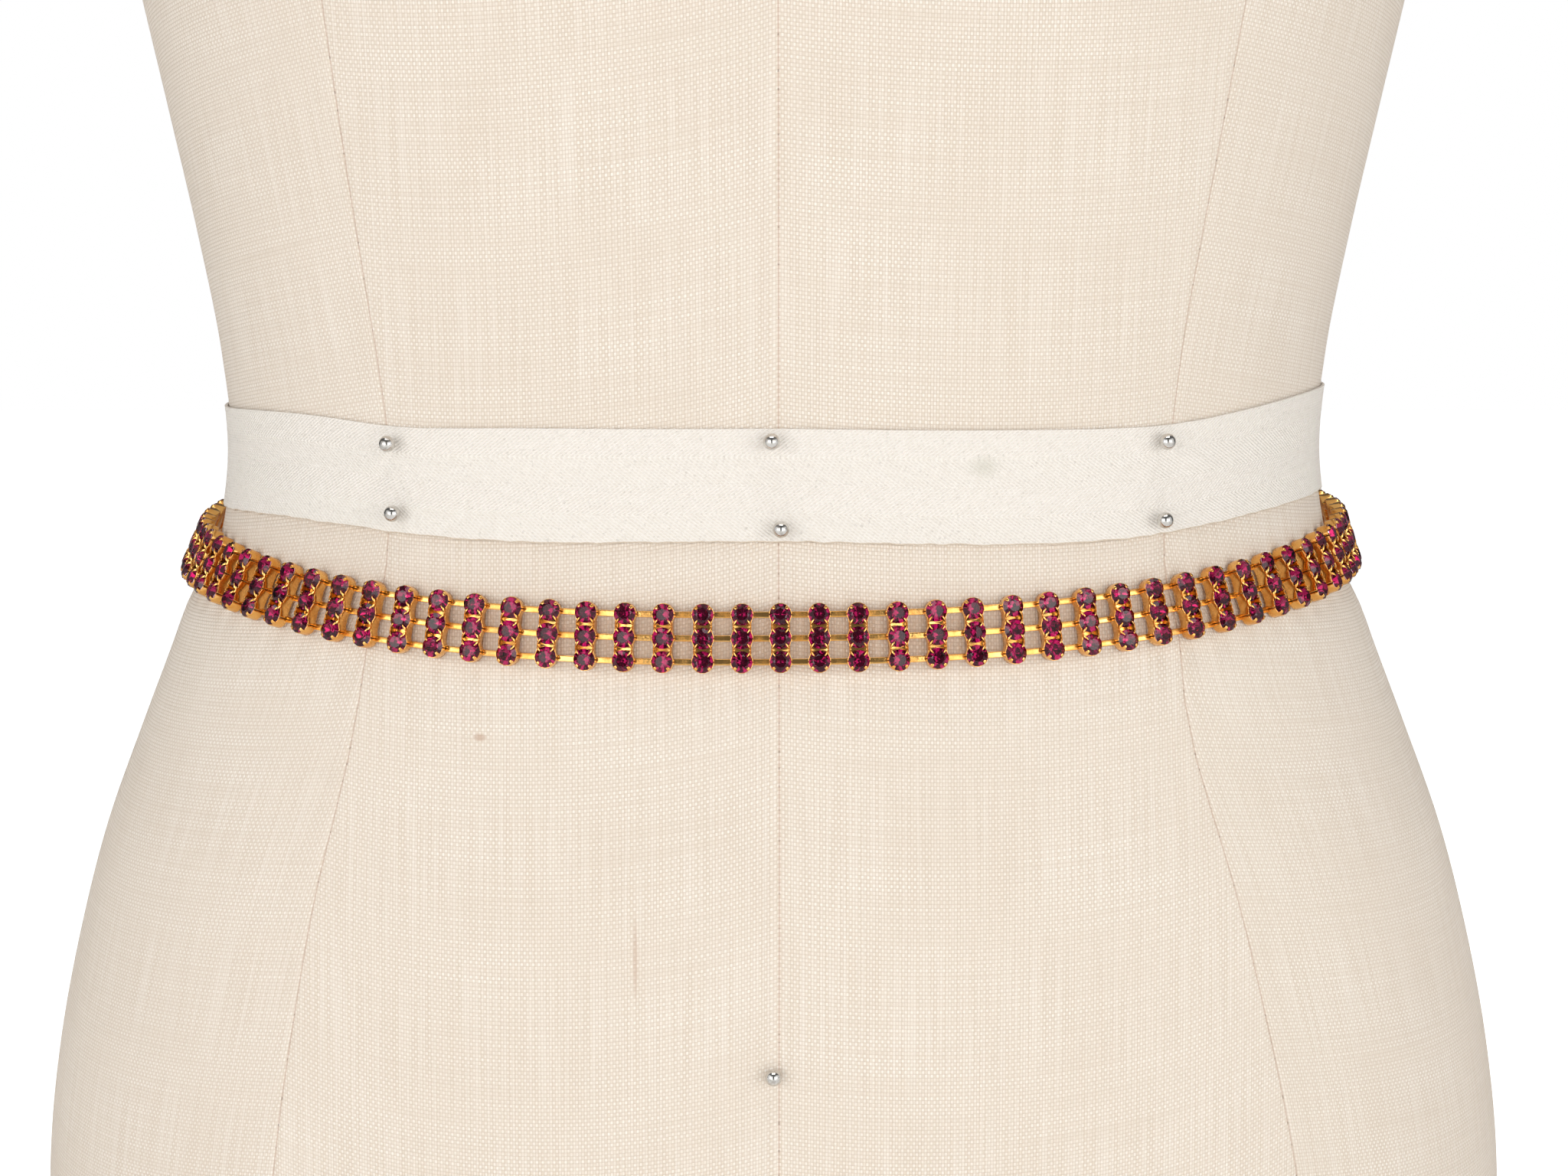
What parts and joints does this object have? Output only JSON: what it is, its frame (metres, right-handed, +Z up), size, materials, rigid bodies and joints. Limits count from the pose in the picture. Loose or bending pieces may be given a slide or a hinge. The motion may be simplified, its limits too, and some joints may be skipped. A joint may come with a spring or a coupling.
{
  "type": "rhinestone belt on dress form",
  "caption": "Three-row rhinestone chain belt, round purple stones in gold cups, hooked round the waist of a limbless linen dress form with a pinned waist tape.",
  "frame": {"origin": "middle of the flat base that the dress form stands on", "axes": "+Z up along the form; the front of the form, where the belt dips, faces -Y; +X is the form's own left, the right of the picture"},
  "size_m": [0.3952, 0.2555, 0.775],
  "materials": {
    "linen": "cream plain-weave linen over a padded papier-mache torso",
    "twill_tape": "unbleached cotton herringbone twill tape",
    "pin_steel": "polished nickel-plated ball heads",
    "gold_plated_brass": "bright gold-plated stamped brass",
    "amethyst_glass": "foil-backed faceted deep amethyst glass"
  },
  "bodies": {
    "root": {"dress_form": "linen", "waist_tape": "twill_tape", "pin_left_upper": "pin_steel", "pin_left_lower": "pin_steel", "pin_centre_upper": "pin_steel", "pin_centre_lower": "pin_steel", "pin_right_upper": "pin_steel", "pin_right_lower": "pin_steel", "pin_back_left": "pin_steel", "pin_back_right": "pin_steel", "pin_hem_centre": "pin_steel", "belt_01": "gold_plated_brass", "belt_02": "gold_plated_brass", "belt_03": "gold_plated_brass", "belt_04": "gold_plated_brass", "belt_05": "gold_plated_brass", "belt_06": "gold_plated_brass", "belt_07": "gold_plated_brass", "belt_08": "gold_plated_brass", "belt_09": "gold_plated_brass", "belt_10": "gold_plated_brass", "belt_11": "gold_plated_brass", "belt_12": "gold_plated_brass", "eye_end": "gold_plated_brass", "hook_end": "gold_plated_brass"}
  },
  "joints": []
}
